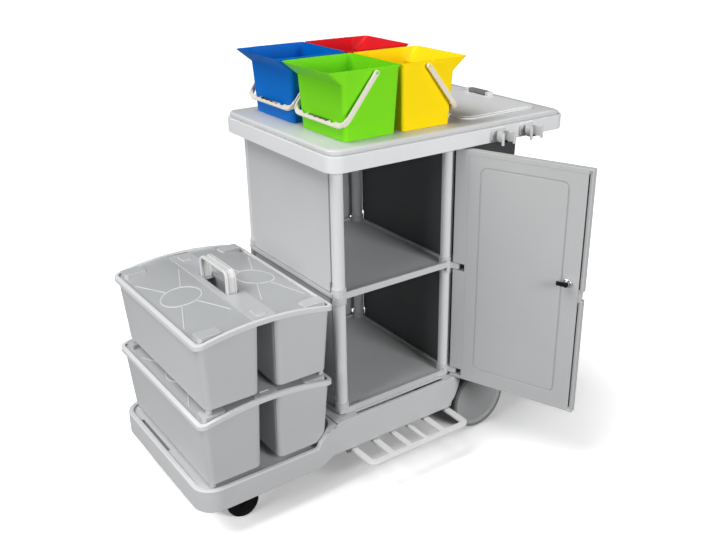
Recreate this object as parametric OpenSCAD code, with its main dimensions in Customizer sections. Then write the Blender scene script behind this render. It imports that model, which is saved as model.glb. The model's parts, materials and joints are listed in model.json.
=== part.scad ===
// Cleaning cart: a cabinet on a moulded base, with caddies at the front,
// buckets on the top and a waste bag at the rear.
// X runs along the cart (front at -X), Y across it (open door at -Y), Z up from the floor.

/* [Cabinet] */
// Spacing of the posts along the cart
post_span = 370; // [340:5:400]
// Distance of the posts in from the sides of the base
post_inset = 45; // [36:1:50]
// Diameter of the posts
post_d = 34; // [30:1:36]
// Wall of the posts
post_wall = 3; // [2:0.5:5]
// Wall of the sockets that hold the posts
socket_wall = 3; // [2.5:0.5:4]
// Thickness of the side panels and partitions
panel_t = 5; // [3:0.5:8]
// Height of the middle shelf's underside above the floor
mid_level = 574; // [540:1:585]
// Height of the top's underside above the floor
top_level = 934; // [900:1:960]
// Thickness of a shelf's plate
shelf_t = 8; // [5:0.5:10]
// Height of a shelf's front and back lips
lip_h = 18; // [16:0.5:22]

/* [Base] */
// Reach of the tray in front of the front posts
tray_reach = 455; // [450:1:480]
// Width of the base
base_w = 540; // [530:2:560]
// Height of the plinth that carries the cabinet
plinth_top = 220; // [210:1:230]
// Lower edge of the plinth
plinth_bottom = 120; // [116:1:130]
// Lower edge of the tray
tray_bottom = 96; // [92:1:104]
// Height of the tray's floor
tray_deck = 156; // [150:1:157]
// Height of the tray's rim
tray_rim = 163; // [158:0.5:166]
// Width of the tray's rim
rim_w = 16; // [12:1:18]
// Radius of the tray's corners
tray_r = 60; // [45:1:75]
// Wall of the base
base_wall = 6; // [4:0.5:7]
// Distance of the tail's sides in from the sides of the base
tail_inset = 60; // [58:1:75]
// Rear end of the tail
tail_end = 735; // [700:5:750]

/* [Wheels] */
// Diameter of the rear wheels
wheel_d = 200; // [180:2:206]
// Width of the rear wheels' tread
wheel_w = 38; // [30:1:42]
// Position of the rear axle behind the front posts
axle_x = 491; // [480:1:520]
// Diameter of the rear axle
axle_d = 12; // [10:1:16]
// Diameter of the castor wheels
castor_d = 90; // [80:1:94]
// Width of the castor wheels
castor_w = 26; // [20:1:30]
// Trail of the castor wheels behind their swivel
castor_trail = 22; // [15:1:28]

/* [Top] */
// Reach of the top in front of the front posts
top_front = 52; // [45:1:60]
// Rear end of the top
top_end = 770; // [750:5:800]
// Overhang of the top beyond each side of the base
top_over = 15; // [12:1:25]
// Height of the top's skirt
skirt_h = 42; // [36:1:50]
// Height of the deck moulding on the skirt
deck_h = 16; // [12:1:20]
// Wall of the top's mouldings
top_wall = 6; // [4:0.5:8]
// Radius of the top's corners
top_r = 40; // [34:1:50]
// Diameter of a tool handle that the clips hold
handle_d = 25; // [20:1:28]

/* [Doors] */
// Thickness of a door
door_t = 22; // [18:1:23]
// Angle that the near door stands open
door_open = 111; // [0:1:170]
// Wall of a door's shell
door_wall = 3; // [2.5:0.5:4]
// Diameter of the hinge pins
pin_d = 8; // [6:0.5:9]
// Height of the lock above the floor
lock_z = 612; // [604:1:640]
// Length of the lock's cam
cam_len = 26; // [20:0.5:27]

/* [Caddies] */
// Length of a caddy over its rim
caddy_l = 390; // [360:2:392]
// Overhang of a caddy's rim beyond each side of the base
caddy_over = 2; // [-10:1:5]
// Height of a caddy at the corners of its rim
caddy_h = 204; // [190:2:230]
// Rise of the rim at the middle of the near and far sides
rim_rise = 24; // [10:1:30]
// Wall of a caddy
caddy_wall = 3; // [2:0.5:4]
// Height of a carry handle above the corners of the rim
grip_rise = 83; // [70:1:100]
// Height of a bin's floor above its feet
bin_floor = 16; // [12:1:20]

/* [Buckets] */
// Length of a bucket's foot
bucket_l = 158; // [140:2:162]
// Width of a bucket's foot
bucket_w = 205; // [190:1:210]
// Height of a bucket
bucket_h = 177; // [150:1:200]
// Wall of a bucket
bucket_wall = 2.5; // [2:0.5:4]
// Reach of a bucket's pouring lip
lip_reach = 45; // [30:1:46]
// Radius of a bail from its pivot to its grip
bail_r = 158; // [152:1:162]
// Angle between a resting bail and the vertical
bail_angle = 39; // [39:1:46]

/* [Bag] */
// Gap between the waste bag's mouth and the line of each side of the tail
bag_gap = 5; // [4:1:20]
// Length of the waste bag at its mouth
bag_l = 242; // [220:2:242]
// Thickness of the bag's wall
bag_wall = 3; // [2:0.5:5]

/* [Hidden] */
$fn = 48;
soft_fn = 32;
eps = 0.01;
slip = 0.05;
rest_gap = 0.3;
near = -1;
far = 1;

// Levels
mid_plate = mid_level + 2;
skirt_top = top_level + skirt_h;
deck_top = skirt_top + deck_h;
seat_level = top_level + 26;
door_z0 = plinth_top + 1;
door_z1 = top_level - 4;

// Widths
post_width = base_w - 2 * post_inset;
tail_w = base_w - 2 * tail_inset;
top_w = base_w + 2 * top_over;
caddy_w = base_w + 2 * caddy_over;
bag_w = tail_w - 2 * bag_gap;

// Plan positions
half_post = post_width / 2;
posts = [for (x = [0, post_span], y = [-half_post, half_post]) [x, y]];
socket_d = post_d + 2 * socket_wall;
wing_inset = 34;
lip_out = 4;
lip_t = 6;
shelf_half = half_post + 18;
hinge_x = post_span + 15;
hinge_y = -half_post - 35;
door_margin = 10;
door_reach = hinge_x - 4;
pocket_end = -48;
step_front = -108;
step_back = -25;
plinth_end = post_span + 66;
arch_r = wheel_d / 2 + 18;
axle_z = wheel_d / 2;
wheel_in = tail_w / 2 + 16;
wheel_out = wheel_in + wheel_w;
castor_inset = 69;
castor_y = base_w / 2 - castor_inset;
castor_x = -335;
slot_x = -tray_reach + rim_w + 6;
slot_y = 76;
slot_half = base_w / 2 - 176;
channel_w = 12;
runner_l = 210;

// The cart's origin lies on the floor at the middle of its bounding box
near_reach = hinge_y - door_reach * sin(door_open) - door_t / 2 * abs(cos(door_open));
origin_x = (top_end - tray_reach) / 2;
origin_y = (top_w / 2 + near_reach) / 2;

// Caddy stack
caddy_x = pocket_end + 5 - caddy_l / 2;
lower_shift = 8;
arch_radius = (caddy_l * caddy_l / 4 + rim_rise * rim_rise) / (2 * rim_rise);
lid_t = 4;
lid_drop = 5;
lid_under = lid_drop + lid_t;
ledge = lid_under + rest_gap;
foot_d = 16;
foot_x = caddy_l / 2 - 32;
foot_y = caddy_w / 2 - 34;
pad_rise = 10;
foot_seat = caddy_h - lid_drop + arch_at(foot_x - foot_d / 2) + pad_rise;
bridge_top = caddy_h + rim_rise - ledge - 0.5;
lower_z = tray_deck + rest_gap;
upper_z = lower_z + foot_seat + rest_gap;
bin_inset = 7;
bin_draft = 13;
bin_gap = 26;
spine_half = 33;
handle_w = 30;
handle_t = 8;
handle_leg = 12;
flange_w = 8;
flange_step = 2.4;
handle_span = 164;

// Buckets
bucket_rim = 9;
bucket_pitch_x = bucket_l + 2 * bucket_rim + 7;
bucket_pitch_y = bucket_w + 44;
bucket_x = 198;
bail_t = 6;
bail_gap = 2.5;
grip_h = 14;
pivot_d = 7;
pivot_x = 8;
pivot_z = bucket_h - 12;
arm_y = bucket_w / 2 + bucket_rim + 2 + bail_gap;
lip_start = bucket_h - 38;
lip_inset = 0.6;

// Bag bay
bag_x = 555;
bay_l = bag_l + 10;
bay_w = bag_w + 18;
lid_x0 = bag_x - bay_l / 2 - 8;
lid_x1 = 706;
lid_half = bay_w / 2 + 17;
lid_r = 40;
grip_x = lid_x1 - 24;
lid_axis_x = lid_x0 - 8;
lid_axis_z = deck_top + 7.5;
lid_pin_d = 6;
knuckle_d = 12;
knuckle_y = 145;
knuckle_w = 30;

// Rack
rack_x0 = 2;
rack_x1 = post_span - 6;
rack_z0 = plinth_bottom - 14;
rack_t = 10;
rack_out = 96;
rack_back = 100;
runner_grip = 12;
slat_x = [rack_x0 + 10, 86, 150, 208, 272, rack_x1 - 10];
slat_w = [20, 20, 17, 13, 20, 20];

// Clips
clip_x = [495, 603];
clip_r = handle_d / 2 - 0.5;
clip_wall = 5;
clip_h = 30;
clip_z = top_level + 6;
clip_y = -top_w / 2 - clip_r - clip_wall - 6;

body_grey = [0.75, 0.76, 0.76];
top_grey = [0.84, 0.85, 0.85];
dark_grey = [0.25, 0.26, 0.27];

// Moves a piece from the cart's own layout to the part's frame
module placed() {
    translate([-origin_x, -origin_y, 0]) children();
}

// Outline with round corners, from corner (x0, y0) to corner (x1, y1)
module rounded(x0, x1, y0, y1, r) {
    translate([x0 + r, y0]) square([x1 - x0 - 2 * r, y1 - y0]);
    translate([x0, y0 + r]) square([x1 - x0, y1 - y0 - 2 * r]);
    for (x = [x0 + r, x1 - r], y = [y0 + r, y1 - r]) translate([x, y]) circle(r);
}

// Block between two levels, over a rounded outline
module slab(x0, x1, y0, y1, r, z0, z1) {
    translate([0, 0, z0]) linear_extrude(z1 - z0) rounded(x0, x1, y0, y1, r);
}

// Box from its lowest to its highest corner
module block(a, b) {
    translate(a) cube(b - a);
}

// Upright round bar
module bar(x, y, z0, z1, d) {
    translate([x, y, z0]) cylinder(d = d, h = z1 - z0);
}

// Round bar across the cart
module cross_bar(x, z, y0, y1, d) {
    translate([x, y0, z]) rotate([-90, 0, 0]) cylinder(d = d, h = y1 - y0);
}

// Side profile drawn in X and Z, as wide as the given span about the centre plane
module across(w) {
    translate([0, w / 2, 0]) rotate([90, 0, 0]) linear_extrude(w) children();
}

// Base

module base_side() {
    polygon([
        [-tray_reach - 1, tray_bottom], [step_front + 5, tray_bottom], [step_front + 49, plinth_bottom],
        [post_span - 13, plinth_bottom], [plinth_end - 4, plinth_top - 20], [plinth_end, plinth_top],
        [step_back, plinth_top], [step_back - 45, plinth_top - 16], [step_front + 8, tray_rim + 16],
        [step_front, tray_rim], [-tray_reach - 1, tray_rim]
    ]);
}

module base_hollow_side() {
    polygon([
        [-tray_reach, 0], [plinth_end, 0], [plinth_end, plinth_top - base_wall],
        [pocket_end + base_wall, plinth_top - base_wall],
        [pocket_end + base_wall, tray_deck - base_wall], [-tray_reach, tray_deck - base_wall]
    ]);
}

module base_plan(inset) {
    rounded(-tray_reach + inset, plinth_end - inset, -base_w / 2 + inset, base_w / 2 - inset,
        tray_r - inset);
}

module axle_hanger(side) {
    y = side * (tail_w / 2 - 10);
    translate([axle_x, y + 8, 0]) rotate([90, 0, 0]) linear_extrude(16) {
        translate([0, axle_z]) circle(d = 3 * axle_d);
        translate([-1.5 * axle_d, axle_z]) square([3 * axle_d, plinth_top - base_wall - axle_z + eps]);
    }
}

module chassis() color(body_grey) {
    difference() {
        union() {
            difference() {
                intersection() {
                    linear_extrude(plinth_top + 1) base_plan(0);
                    across(base_w + 2) base_side();
                }
                intersection() {
                    linear_extrude(plinth_top) base_plan(base_wall);
                    across(base_w) base_hollow_side();
                }
                slab(-tray_reach + rim_w, pocket_end, -base_w / 2 + rim_w, base_w / 2 - rim_w,
                    tray_r - rim_w, tray_deck, plinth_top + 1);
            }
            difference() {
                slab(plinth_end - 70, tail_end, -tail_w / 2, tail_w / 2, 40, plinth_top - 60, plinth_top);
                slab(plinth_end - 64, tail_end - base_wall, -tail_w / 2 + base_wall, tail_w / 2 - base_wall,
                    40 - base_wall, 0, plinth_top - base_wall);
            }
            for (side = [near, far]) {
                axle_hanger(side);
                bar(castor_x, side * castor_y, boss_z, tray_deck - 1, 64);
            }
            block([slot_x - 10, slot_y - slot_half - 8, tray_bottom + 24],
                [slot_x + 10, slot_y + slot_half + 8, tray_deck]);
            for (x = [rack_x0 - 6, rack_x1 - 2]) {
                block([x, -base_w / 2 + 1, plinth_bottom], [x + 8, -base_w / 2 + runner_l, plinth_top - 1]);
            }
        }
        for (side = [near, far]) {
            y = side * (wheel_in + wheel_out) / 2;
            cross_bar(axle_x, axle_z, y - wheel_w / 2 - 12, y + wheel_w / 2 + 12, 2 * arch_r);
        }
        cross_bar(axle_x, axle_z, -tail_w / 2, tail_w / 2, axle_d + 2 * slip);
        slab(slot_x - 4, slot_x + 4, slot_y - slot_half, slot_y + slot_half, 3.9,
            tray_bottom + 28, tray_rim + 1);
        for (side = [near, far]) {
            y = side * (shelf_half + base_w / 2 - base_wall) / 2;
            slab(socket_d / 2 + 8, post_span - socket_d / 2 - 8, y - channel_w / 2, y + channel_w / 2,
                channel_w / 2 - 0.1, plinth_top - base_wall - 2, plinth_top + 2);
        }
    }
}

// Cabinet

module posts_between(z0, z1) {
    for (p = posts) difference() {
        bar(p[0], p[1], z0, z1, post_d);
        bar(p[0], p[1], z0 - 1, z1 + 1, post_d - 2 * post_wall);
    }
}

// The far door and its hinge are the mirror image of the near door's
module on_far_side() mirror([0, 1, 0]) children();

module for_both_doors() {
    children();
    on_far_side() children();
}

// Arm from a post's socket to a door's hinge, made for both doors
module hinge_lugs(z0, z1) {
    reach = norm([hinge_x - post_span, hinge_y + half_post]);
    turn = atan2(hinge_y + half_post, hinge_x - post_span);
    for_both_doors() difference() {
        union() {
            translate([post_span, -half_post, z0]) rotate(turn) translate([socket_d / 2 - 3, -pin_d, 0]) {
                cube([reach - socket_d / 2 + 3, 2 * pin_d, z1 - z0]);
            }
            bar(hinge_x, hinge_y, z0, z1, 2 * pin_d);
        }
        bar(hinge_x, hinge_y, z0 - 1, z1 + 1, pin_d + 2 * slip);
    }
}

// Shelf with lips, four post sockets and hinge arms; its underside is at z
module shelf(z, plate_z, socket_z0, socket_z1, lug_z0, lug_z1) {
    front = -post_d / 2;
    rear = post_span + post_d / 2 - panel_t - rest_gap;
    difference() {
        union() {
            slab(-post_d / 2, post_span + post_d / 2, -shelf_half, shelf_half, 6,
                plate_z, plate_z + shelf_t);
            block([front - lip_out, -half_post, plate_z], [front + 1, half_post, plate_z + shelf_t]);
            block([front - lip_out, -half_post, z], [front - rest_gap, half_post, z + lip_h - 2]);
            block([rear - lip_t, -half_post, plate_z], [rear, half_post, z + lip_h]);
            for (side = [near, far]) {
                y = side < 0 ? -shelf_half : shelf_half - 8;
                block([0, y, z], [post_span, y + 8, z + lip_h]);
            }
            for (p = posts) bar(p[0], p[1], socket_z0, socket_z1, socket_d);
        }
        for (p = posts) {
            bar(p[0], p[1], plate_z + shelf_t, socket_z1 + 1, post_d + 2 * slip);
            bar(p[0], p[1], socket_z0 - 1, plate_z, post_d + 2 * slip);
        }
    }
    hinge_lugs(lug_z0, lug_z1);
}

module lower_shelf() color(body_grey) {
    shelf(plinth_top, plinth_top + 4, plinth_top + 4, plinth_top + 34, plinth_top + 12, plinth_top + 30);
}

module mid_shelf() color(body_grey) {
    shelf(mid_level, mid_plate, mid_plate - 20, mid_plate + shelf_t + 20, mid_level - 1, mid_level + 17);
}

module lower_posts() color(top_grey) posts_between(plinth_top + 4 + shelf_t, mid_plate);

module upper_posts() color(top_grey) posts_between(mid_plate + shelf_t, seat_level);

// A panel fits between the sockets, and between those its wings reach in beside the round posts
module side_panel(x, z0, z1) {
    post_r = post_d / 2;
    chord = sqrt(post_r * post_r - pow(post_r - panel_t, 2));
    half = half_post - post_r - 1;
    wing = half_post - chord - rest_gap;
    block([x, -half, z0], [x + panel_t, half, z1]);
    block([x, -wing, z0 + wing_inset], [x + panel_t, wing, z1 - wing_inset]);
}

module lower_left_panel() color(body_grey) side_panel(-post_d / 2, plinth_top + 4 + shelf_t, mid_plate);

module upper_left_panel() color(body_grey) side_panel(-post_d / 2, mid_plate + shelf_t, seat_level + 6);

module lower_partition() color(dark_grey) {
    side_panel(post_span + post_d / 2 - panel_t, plinth_top + 4 + shelf_t, mid_plate);
}

module upper_partition() color(dark_grey) {
    side_panel(post_span + post_d / 2 - panel_t, mid_plate + shelf_t, seat_level + 6);
}

// Top

module bay(extra, z0, z1) {
    slab(bag_x - bay_l / 2 - extra, bag_x + bay_l / 2 + extra, -bay_w / 2 - extra, bay_w / 2 + extra,
        24, z0, z1);
}

module top_frame() color(top_grey) {
    plate_z = seat_level + 6;
    difference() {
        union() {
            difference() {
                slab(-top_front, top_end, -top_w / 2, top_w / 2, top_r, top_level, skirt_top);
                slab(-top_front + top_wall, top_end - top_wall, -top_w / 2 + top_wall, top_w / 2 - top_wall,
                    top_r - top_wall, top_level - 1, plate_z);
            }
            for (p = posts) bar(p[0], p[1], top_level, plate_z + 1, socket_d);
            for_both_doors() bar(hinge_x, hinge_y, top_level, plate_z + 1, 3 * pin_d);
            bay(12, plate_z - 8, plate_z + 1);
        }
        for (p = posts) bar(p[0], p[1], top_level - 1, seat_level, post_d + 2 * slip);
        for_both_doors() bar(hinge_x, hinge_y, top_level - 1, top_level + 18, pin_d + 2 * slip);
        bay(0, top_level - 2, skirt_top + 1);
        bay(6, skirt_top - 6, skirt_top + 1);
    }
}

// Deck edge: a rounded rise from the skirt to the flat top, longer at the rear end
module deck_layer(inset, rear, z) {
    translate([0, 0, z]) linear_extrude(eps) {
        rounded(-top_front + inset, top_end - rear, -top_w / 2 + inset, top_w / 2 - inset,
            top_r - inset, $fn = soft_fn);
    }
}

module top_deck() color(top_grey) {
    difference() {
        union() {
            slab(-top_front + 9, top_end - 9, -top_w / 2 + 9, top_w / 2 - 9, top_r - 9,
                skirt_top, skirt_top + 4);
            hull() {
                deck_layer(7, 7, skirt_top + 2.5);
                deck_layer(6, 7, skirt_top + deck_h * 0.35);
                deck_layer(6, 20, skirt_top + deck_h * 0.72);
                deck_layer(10, 38, skirt_top + deck_h * 0.92);
                deck_layer(16, 58, deck_top - eps);
            }
            for (side = [near, far], end = [near, far]) {
                y = side * knuckle_y + end * (knuckle_w / 2 + 4);
                cross_bar(lid_axis_x, lid_axis_z, y - 3.5, y + 3.5, knuckle_d);
                block([lid_axis_x - knuckle_d / 2, y - 3.5, deck_top - 1],
                    [lid_axis_x + knuckle_d / 2, y + 3.5, lid_axis_z]);
            }
        }
        bay(0, skirt_top - 1, deck_top + 1);
        for (side = [near, far]) {
            y = side * knuckle_y;
            cross_bar(lid_axis_x, lid_axis_z, y - knuckle_w, y + knuckle_w, lid_pin_d + 2 * slip);
        }
    }
}

module lid_hinge_pins() color("silver") {
    for (side = [near, far]) {
        y = side * knuckle_y;
        cross_bar(lid_axis_x, lid_axis_z, y - knuckle_w / 2 - 7.5, y + knuckle_w / 2 + 7.5, lid_pin_d);
    }
}

module bag_lid() color(top_grey) {
    z = deck_top + rest_gap;
    difference() {
        union() {
            slab(lid_x0, lid_x1, -lid_half, lid_half, lid_r, z, z + 4);
            slab(lid_x0 + 12, lid_x1 - 10, -lid_half + 12, lid_half - 12, lid_r - 10, z + 3, z + 6);
            for (side = [near, far]) {
                y = side * knuckle_y;
                cross_bar(lid_axis_x, lid_axis_z, y - knuckle_w / 2, y + knuckle_w / 2, knuckle_d);
                block([lid_axis_x, y - knuckle_w / 2, z], [lid_x0 + 14, y + knuckle_w / 2, z + 6]);
            }
            for (y = [-45, 45]) block([grip_x - 11, y - 7, z + 5], [grip_x + 11, y + 7, z + 18]);
        }
        for (side = [near, far]) {
            y = side * knuckle_y;
            cross_bar(lid_axis_x, lid_axis_z, y - knuckle_w, y + knuckle_w, lid_pin_d + 2 * slip);
        }
    }
}

module lid_grip() color(dark_grey) {
    z = deck_top + rest_gap + 8;
    slab(grip_x - 10, grip_x + 10, -38, 38, 4, z, z + 11);
}

// Clip that grips an upright tool handle
module clip(x) {
    out = clip_r + clip_wall;
    mouth = 39;
    reach = 1.4 * out;
    difference() {
        union() {
            translate([0, -top_w / 2, 0]) rotate([90, 0, 0]) linear_extrude(6) {
                rounded(x - 26, x + 26, clip_z - 2, clip_z + clip_h + 2, 7);
            }
            block([x - 9, clip_y, clip_z + 2], [x + 9, -top_w / 2 - 5, clip_z + clip_h - 2]);
            translate([x, clip_y, clip_z]) rotate_extrude() polygon([
                [0, 0], for (i = [0 : 8]) [out - 2 + 3 * sin(22.5 * i), clip_h * i / 8], [0, clip_h]
            ]);
            for (s = [-1, 1]) translate([x, clip_y, clip_z]) rotate(s * mouth) {
                translate([3 * s - 2.5, -out - 12, 0]) cube([5, 14, clip_h]);
                translate([3 * s, -out - 12, -5]) cylinder(d = 8, h = clip_h + 5);
            }
        }
        bar(x, clip_y, clip_z - 3, clip_z + clip_h + 3, 2 * clip_r);
        translate([x, clip_y, clip_z - 6]) linear_extrude(clip_h + 12) polygon([
            [0, 0], [-reach * sin(mouth), -reach * cos(mouth)], [reach * sin(mouth), -reach * cos(mouth)]
        ]);
        for (s = [-1, 1]) {
            cross_bar(x + s * 20, clip_z + clip_h / 2, -top_w / 2 - 7, -top_w / 2 + 1, 4.2);
        }
    }
}

module handle_clips() color([0.88, 0.89, 0.89]) for (x = clip_x) clip(x);

module clip_screws() color("silver") {
    for (x = clip_x, s = [-1, 1]) {
        cross_bar(x + s * 20, clip_z + clip_h / 2, -top_w / 2 - 6, -top_w / 2, 4);
        cross_bar(x + s * 20, clip_z + clip_h / 2, -top_w / 2 - 8.5, -top_w / 2 - 6, 8);
    }
}

module bag_ring() color(dark_grey) {
    difference() {
        bay(5.5, skirt_top - 6, skirt_top - 0.5);
        slab(bag_x - bag_l / 2, bag_x + bag_l / 2, -bag_w / 2, bag_w / 2, 20, skirt_top - 7, skirt_top);
    }
}

// Level of the bag's form, drawn in from its mouth by dx and dy on every side
module bag_layer(dx, dy, r, z) {
    x = bag_l / 2 - dx;
    y = bag_w / 2 - dy;
    translate([0, 0, z]) linear_extrude(eps) rounded(bag_x - x, bag_x + x, -y, y, r, $fn = soft_fn);
}

// Bag form, drawn in a little at its foot; t is the wall taken off for the inside
module bag_form(t, z0, z1) {
    hull() {
        bag_layer(12 + t, 15 + t, 34, z0);
        bag_layer(2 + t, 3 + t, 30, z0 + 0.3 * (z1 - z0));
        bag_layer(1 + t, 1 + t, 20, z1 - eps);
    }
}

module waste_bag() color(dark_grey) {
    difference() {
        bag_form(0, plinth_top + rest_gap, skirt_top - 1);
        bag_form(bag_wall, plinth_top + rest_gap + bag_wall, skirt_top + 1);
    }
}

// Rack under the near side of the plinth

module tool_rack() color([0.9, 0.9, 0.9]) {
    y0 = -base_w / 2 - rack_out;
    y1 = -base_w / 2 + rack_back;
    r = 28;
    union() {
        intersection() {
            slab(rack_x0, rack_x1, y0, y1 + 60, r, rack_z0, rack_z0 + rack_t);
            block([rack_x0, y0, rack_z0], [rack_x1, y0 + 20, rack_z0 + rack_t]);
        }
        difference() {
            slab(rack_x0, rack_x1, y0, y1 + 60, r, rack_z0, rack_z0 + rack_t);
            slab(rack_x0 + 20, rack_x1 - 20, y0 + 20, y1 + 80, r - 20, rack_z0 - 1, rack_z0 + rack_t + 1);
            block([rack_x0 - 1, y1, rack_z0 - 1], [rack_x1 + 1, y1 + 90, rack_z0 + rack_t + 1]);
        }
        block([rack_x0, y1 - 18, rack_z0], [rack_x1, y1, rack_z0 + rack_t]);
        for (i = [1 : len(slat_x) - 2]) {
            half = slat_w[i] / 2;
            block([slat_x[i] - half, y0 + 10, rack_z0], [slat_x[i] + half, y1 - 5, rack_z0 + rack_t]);
        }
    }
}

module rack_runners() color([0.6, 0.61, 0.62]) {
    y0 = -base_w / 2 + 10;
    y1 = -base_w / 2 + runner_l;
    z0 = rack_z0 - 5;
    for (right = [false, true]) {
        difference() {
            x0 = right ? rack_x1 - runner_grip : rack_x0 - 8;
            block([x0, y0, z0], [x0 + runner_grip + 8, y1, plinth_bottom]);
            gx = right ? rack_x1 - runner_grip - 1 : rack_x0 - 0.4;
            block([gx, y0 - 1, rack_z0 - 0.4], [gx + runner_grip + 1.4, y1 + 1, rack_z0 + rack_t + 0.4]);
        }
    }
}

// Rear wheels

module rear_axle() color("silver") cross_bar(axle_x, axle_z, -axle_half, axle_half, axle_d);

// Wheel profile about its axle: radius across, width up
module on_axle(side) {
    translate([axle_x, side * (wheel_in + wheel_w / 2), axle_z]) rotate([-90 * side, 0, 0]) {
        rotate_extrude() children();
    }
}

tyre_t = 10;
rim_r = wheel_d / 2 - tyre_t;
bore_r = axle_d / 2 + slip;
axle_half = wheel_out - 13;
hub_in = wheel_in - tail_w / 2 + 1.5;

module rear_wheel(side) color([0.62, 0.63, 0.64]) on_axle(side) {
    w = wheel_w / 2;
    polygon([
        [bore_r, -w - hub_in], [2 * axle_d, -w - hub_in], [2.3 * axle_d, w - 12], [rim_r - 8, w - 10],
        [rim_r - 6, -w + 2], [rim_r, -w + 2], [rim_r, w - 2], [rim_r - 6, w - 2], [rim_r - 9, w - 4],
        for (i = [0 : 5]) [(rim_r - 12) * cos(18 * i), w - 9 + 7 * sin(18 * i)],
        [0, w - 12], [bore_r, w - 12]
    ]);
}

module rear_tyre(side) color([0.55, 0.56, 0.57]) on_axle(side) {
    w = wheel_w / 2;
    r = wheel_d / 2;
    polygon([
        [rim_r + slip, -w + 1], [r - 4, -w], [r - 1, -w + 4], [r, -w + 10], [r, w - 10],
        [r - 1, w - 4], [r - 4, w], [rim_r + slip, w - 1]
    ]);
}

module near_rear_wheel() rear_wheel(near);
module near_rear_tyre() rear_tyre(near);
module far_rear_wheel() rear_wheel(far);
module far_rear_tyre() rear_tyre(far);

// Castors

king_d = 12;
crown_z = castor_d + 6;
plate_t = 4.5;
boss_z = castor_d + 30;
crown_h = boss_z - plate_t - rest_gap - crown_z;
bolt_d = 8;
cheek_t = 4;
fork_half = castor_w / 2 + 1.5;

module castor_plates() color("silver") {
    for (side = [near, far]) {
        y = side * castor_y;
        bar(castor_x, y, boss_z - plate_t, boss_z, 58);
        bar(castor_x, y, crown_z + 1, boss_z - 1, king_d);
    }
}

module castor_fork(side) color([0.2, 0.2, 0.2]) translate([castor_x, side * castor_y, 0]) {
    difference() {
        union() {
            bar(0, 0, crown_z, crown_z + crown_h, 44);
            for (s = [-1, 1]) {
                y0 = s < 0 ? -fork_half - cheek_t : fork_half;
                block([-16, y0, crown_z - 4], [16, y0 + cheek_t, crown_z + 4]);
                translate([0, y0 + cheek_t, 0]) rotate([90, 0, 0]) linear_extrude(cheek_t) {
                    polygon([
                        [-16, crown_z], [castor_trail - 11, castor_d / 2],
                        [castor_trail + 11, castor_d / 2], [16, crown_z]
                    ]);
                    translate([castor_trail, castor_d / 2]) circle(r = 11);
                }
            }
        }
        bar(0, 0, crown_z - 6, crown_z + crown_h + 1, king_d + 2 * slip);
        cross_bar(castor_trail, castor_d / 2, -fork_half - 10, fork_half + 10, bolt_d + 2 * slip);
    }
}

module castor_bolt(side) color("silver") translate([castor_x, side * castor_y, 0]) {
    y = fork_half + cheek_t;
    cross_bar(castor_trail, castor_d / 2, -y, y, bolt_d);
    for (y0 = [-y - 4, y]) cross_bar(castor_trail, castor_d / 2, y0, y0 + 4, 2 * bolt_d);
}

module castor_wheel(side) color([0.1, 0.1, 0.1]) {
    w = castor_w / 2;
    r = castor_d / 2;
    translate([castor_x + castor_trail, side * castor_y, castor_d / 2]) rotate([90, 0, 0]) {
        rotate_extrude() polygon([
            [bolt_d / 2 + slip, -w - 0.5], [10, -w - 0.5], [12, -w + 3], [r - 12, -w + 4],
            [r - 9, -w], [r - 4, -w], [r - 1, -w + 4], [r, -w + 9], [r, w - 9], [r - 1, w - 4],
            [r - 4, w], [r - 9, w], [r - 12, w - 4], [12, w - 3], [10, w + 0.5],
            [bolt_d / 2 + slip, w + 0.5]
        ]);
    }
}

module near_castor_fork() castor_fork(near);
module far_castor_fork() castor_fork(far);
module near_castor_bolt() castor_bolt(near);
module far_castor_bolt() castor_bolt(far);
module near_castor_wheel() castor_wheel(near);
module far_castor_wheel() castor_wheel(far);

// Doors, drawn shut on the near side, then swung open or turned round to the far side

module swung_open() {
    translate([hinge_x, hinge_y, 0]) rotate(door_open) translate([-hinge_x, -hinge_y, 0]) children();
}

door_x0 = hinge_x - door_reach;
door_x1 = hinge_x + door_margin;
door_out = hinge_y - door_t / 2;
door_in = hinge_y + door_t / 2;
lock_x = hinge_x - door_reach + 43;
lock_d = 18;
lock_in = 21;
stile = 26;
notches = [[plinth_top + 10, plinth_top + 32], [mid_level - 3, mid_level + 19]];
pin_spans = [
    [door_z0 + 2, plinth_top + 52], [mid_level - 24, mid_level + 40], [door_z1 - 26, top_level + 14]
];

module door_cuts() {
    for (n = notches) {
        block([hinge_x - stile - 1, door_out - 1, n[0]], [door_x1 + 1, door_in + 1, n[1]]);
    }
    bar(hinge_x, hinge_y, door_z0 - 1, door_z1 + 1, pin_d + 2 * slip);
    cross_bar(lock_x, lock_z, door_out - 1, door_in + 1, lock_d + 2 * slip);
    block([door_x0 - 1, door_out - 1, lock_z - 48], [door_x0 + 6, door_in + 1, lock_z - 22]);
}

module door_shell() color(body_grey) {
    difference() {
        block([door_x0, door_out, door_z0], [door_x1, door_in, door_z1]);
        block([door_x0 + 10, door_out + door_wall, door_z0 + 14],
            [hinge_x - stile - 6, door_in + 1, door_z1 - 14]);
        block([door_x0 + 4, door_in - door_wall, door_z0 + 6], [door_x0 + 13, door_in + 1, door_z1 - 6]);
        door_cuts();
    }
    difference() {
        union() {
            cross_bar(lock_x, lock_z, door_out + 1, door_in - door_wall, lock_d + 10);
            block([door_x0 + 4, door_out + 1, lock_z - 54],
                [door_x0 + 16, door_in - door_wall, lock_z - 16]);
        }
        door_cuts();
    }
}

// Field inside the groove of a door's liner, drawn in by inset
module door_field(inset, over, depth) {
    translate([0, door_in + over, 0]) rotate([90, 0, 0]) linear_extrude(depth) {
        rounded(hinge_x - door_reach + 59 + inset, hinge_x - 66 - inset,
            door_z0 + 46 + inset, door_z1 - 42 - inset, 20 - inset);
    }
}

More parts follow.
